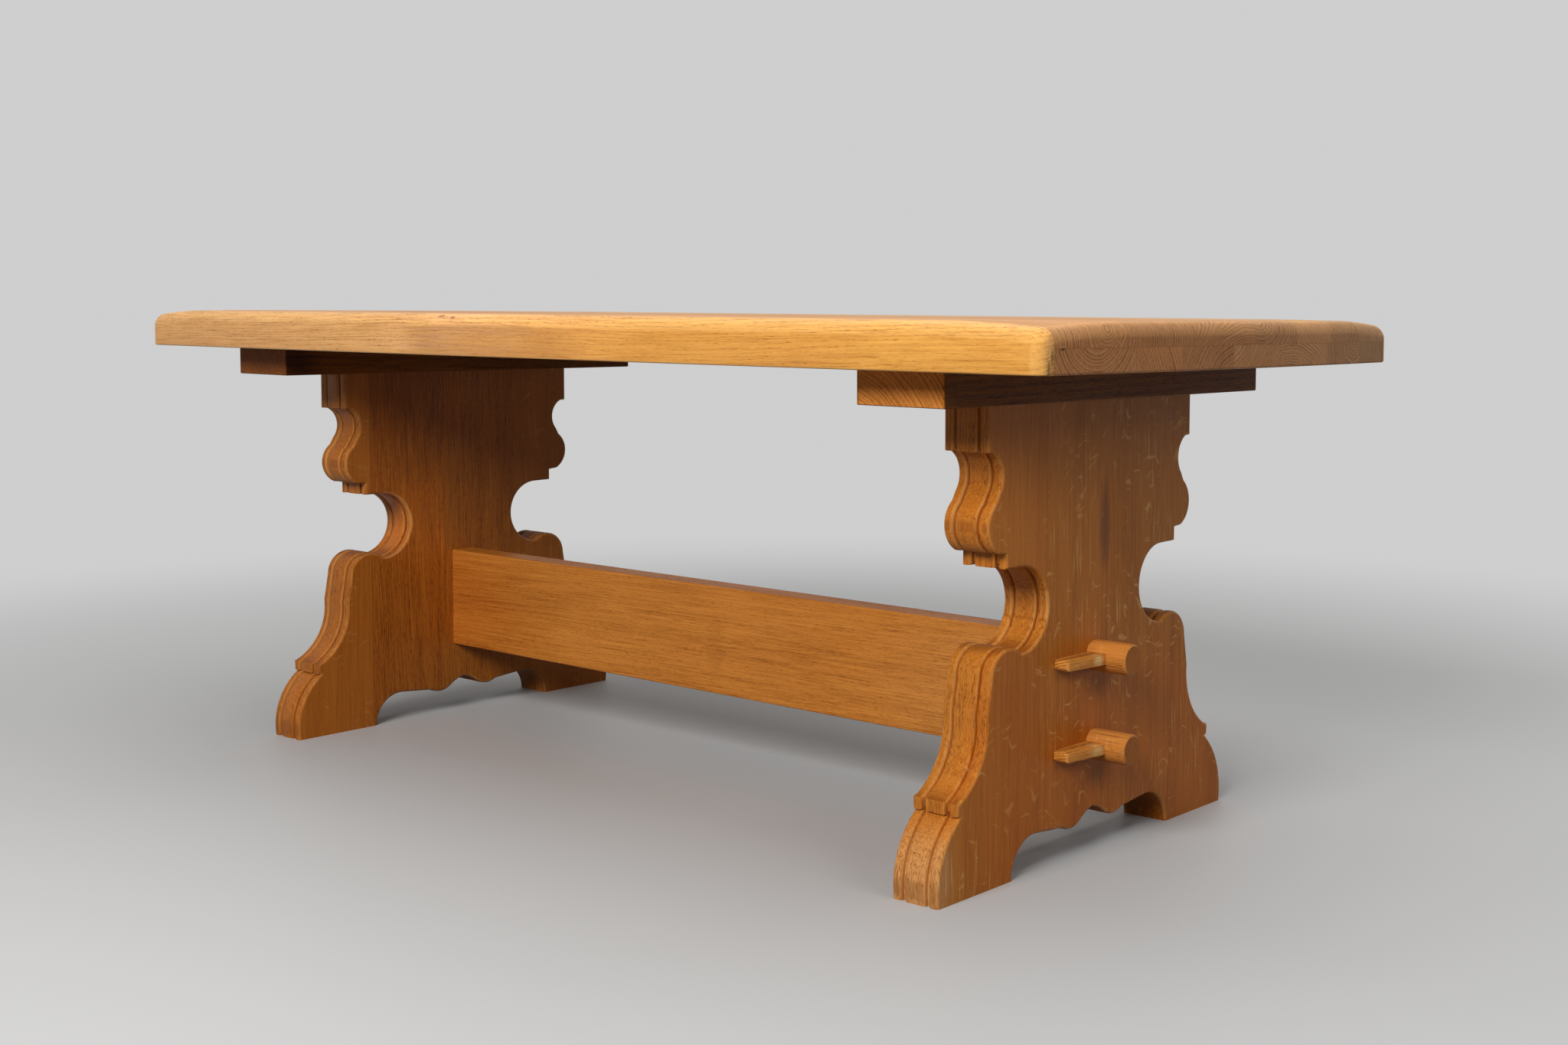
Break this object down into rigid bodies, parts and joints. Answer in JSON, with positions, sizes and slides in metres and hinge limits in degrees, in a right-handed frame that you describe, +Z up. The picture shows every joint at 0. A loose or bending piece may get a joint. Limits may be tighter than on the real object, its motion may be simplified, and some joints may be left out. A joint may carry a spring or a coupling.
{
  "type": "trestle dining table",
  "caption": "Oak trestle table with a thick round-edged slab top on scrolled panel trestles, joined by a plank stretcher whose round through-tenons are locked by wedges.",
  "frame": {"origin": "middle of the table on the floor", "axes": "+Z up, +X along the tabletop's length, +Y across it towards the rear"},
  "size_m": [2, 0.9, 0.746],
  "materials": {
    "edge_oak": "satin oil over honey oak",
    "top_oak": "satin oil over honey oak",
    "trestle_oak": "satin oil over honey oak",
    "bearer_oak": "satin oil over honey oak",
    "stretcher_oak": "satin oil over honey oak",
    "wedge_oak": "worn oil over pale oak",
    "dowel_oak": "bare oak"
  },
  "bodies": {
    "base": {"right_front_ear": "trestle_oak", "right_front_foot": "trestle_oak", "right_front_board": "trestle_oak", "right_rear_ear": "trestle_oak", "right_rear_foot": "trestle_oak", "right_rear_board": "trestle_oak", "left_front_ear": "trestle_oak", "left_front_foot": "trestle_oak", "left_front_board": "trestle_oak", "left_rear_ear": "trestle_oak", "left_rear_foot": "trestle_oak", "left_rear_board": "trestle_oak", "right_bearer": "bearer_oak", "left_bearer": "bearer_oak", "stretcher": "stretcher_oak", "locating_pegs": "dowel_oak", "head_dowels": "dowel_oak"},
    "tabletop": {"front_edge_strip": "edge_oak", "rear_edge_strip": "edge_oak", "upper_board_1": "top_oak", "upper_board_2": "top_oak", "upper_board_3": "top_oak", "upper_board_4": "top_oak", "upper_board_5": "top_oak", "upper_board_6": "top_oak", "upper_board_7": "top_oak", "lower_board_1": "top_oak", "lower_board_2": "top_oak", "lower_board_3": "top_oak", "lower_board_4": "top_oak", "lower_board_5": "top_oak", "lower_board_6": "top_oak", "lower_board_7": "top_oak"},
    "right_upper_wedge": {"right_upper_wedge": "wedge_oak"},
    "right_lower_wedge": {"right_lower_wedge": "wedge_oak"},
    "left_upper_wedge": {"left_upper_wedge": "wedge_oak"},
    "left_lower_wedge": {"left_lower_wedge": "wedge_oak"}
  },
  "joints": [
    {"name": "top_lift", "type": "slide", "parent": "base", "child": "tabletop", "axis": [0, 0, 1], "range_m": [0, 0.1]},
    {"name": "right_upper_wedge_slide", "type": "slide", "parent": "base", "child": "right_upper_wedge", "axis": [0, 1, 0], "range_m": [0, 0.13]},
    {"name": "right_lower_wedge_slide", "type": "slide", "parent": "base", "child": "right_lower_wedge", "axis": [0, 1, 0], "range_m": [0, 0.13]},
    {"name": "left_upper_wedge_slide", "type": "slide", "parent": "base", "child": "left_upper_wedge", "axis": [0, -1, 0], "range_m": [0, 0.13]},
    {"name": "left_lower_wedge_slide", "type": "slide", "parent": "base", "child": "left_lower_wedge", "axis": [0, -1, 0], "range_m": [0, 0.13]}
  ]
}
